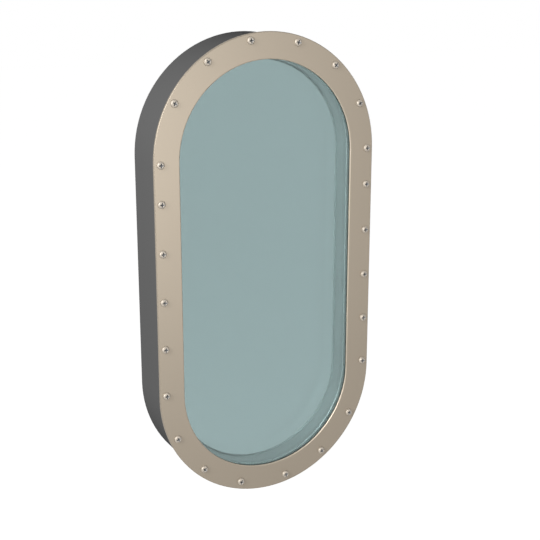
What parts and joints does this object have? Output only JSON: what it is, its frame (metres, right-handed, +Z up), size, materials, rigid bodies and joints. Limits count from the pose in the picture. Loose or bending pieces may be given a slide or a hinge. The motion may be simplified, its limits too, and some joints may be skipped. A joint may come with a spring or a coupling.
{
  "type": "obround window",
  "caption": "Fixed obround window: a flat screwed-on trim ring over a deep sleeve frame that holds a tinted double glass unit.",
  "frame": {"origin": "centre of the opening on the wall's face, which is the back of the trim ring", "axes": "+X to the right and +Z up as seen from the front, +Y into the wall; the trim ring faces -Y"},
  "size_m": [0.256, 0.0649, 0.5058],
  "materials": {
    "ring_metal": "champagne, satin anodised",
    "frame_metal": "dark grey, fine matt powder coat",
    "screw_metal": "bright, lightly warm",
    "tinted_glass": "polished, blue-green tint",
    "gasket_rubber": "matt black",
    "spacer_metal": "mill finish",
    "seal_pale": "matt, pale grey",
    "seal_butyl": "matt grey",
    "edge_sealant": "matt black",
    "drying_beads": "matt granules",
    "block_plastic": "moulded"
  },
  "bodies": {
    "root": {"frame_body": "frame_metal", "front_trim_ring": "ring_metal", "trim_screws": "screw_metal", "front_gasket": "gasket_rubber", "front_pane": "tinted_glass", "front_seal": "seal_pale", "spacer_bar": "spacer_metal", "drying_fill": "drying_beads", "rear_seal": "seal_butyl", "edge_seal": "edge_sealant", "rear_pane": "tinted_glass", "rear_gasket": "gasket_rubber", "setting_blocks": "block_plastic"}
  },
  "joints": []
}
